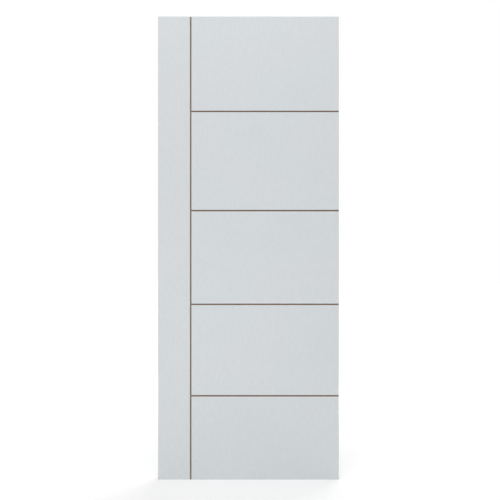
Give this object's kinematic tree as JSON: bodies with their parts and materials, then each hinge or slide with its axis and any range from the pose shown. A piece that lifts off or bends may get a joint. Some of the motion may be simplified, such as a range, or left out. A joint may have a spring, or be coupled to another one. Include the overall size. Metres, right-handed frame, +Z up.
{
  "type": "grooved flush door leaf",
  "caption": "Flush door leaf with primed board skins on a hollow timber frame; a vertical groove sets off a plain lock strip, and cross grooves divide the rest into panels.",
  "frame": {"origin": "on the hinge edge, at the foot of the leaf, in the middle of its thickness", "axes": "+Z up the hinge edge, +X out of the hinge edge, -Y out of the front face"},
  "size_m": [0.82, 0.035, 2.1],
  "materials": {
    "primed_board": "matte",
    "raw_pine": "matte"
  },
  "bodies": {
    "root": {"front_skin": "primed_board", "back_skin": "primed_board", "lock_stile": "raw_pine", "hinge_stile": "raw_pine", "top_rail": "raw_pine", "bottom_rail": "raw_pine", "groove_stile": "raw_pine", "cross_rail_1": "raw_pine", "cross_rail_2": "raw_pine", "cross_rail_3": "raw_pine", "cross_rail_4": "raw_pine", "lock_block": "raw_pine"}
  },
  "joints": []
}
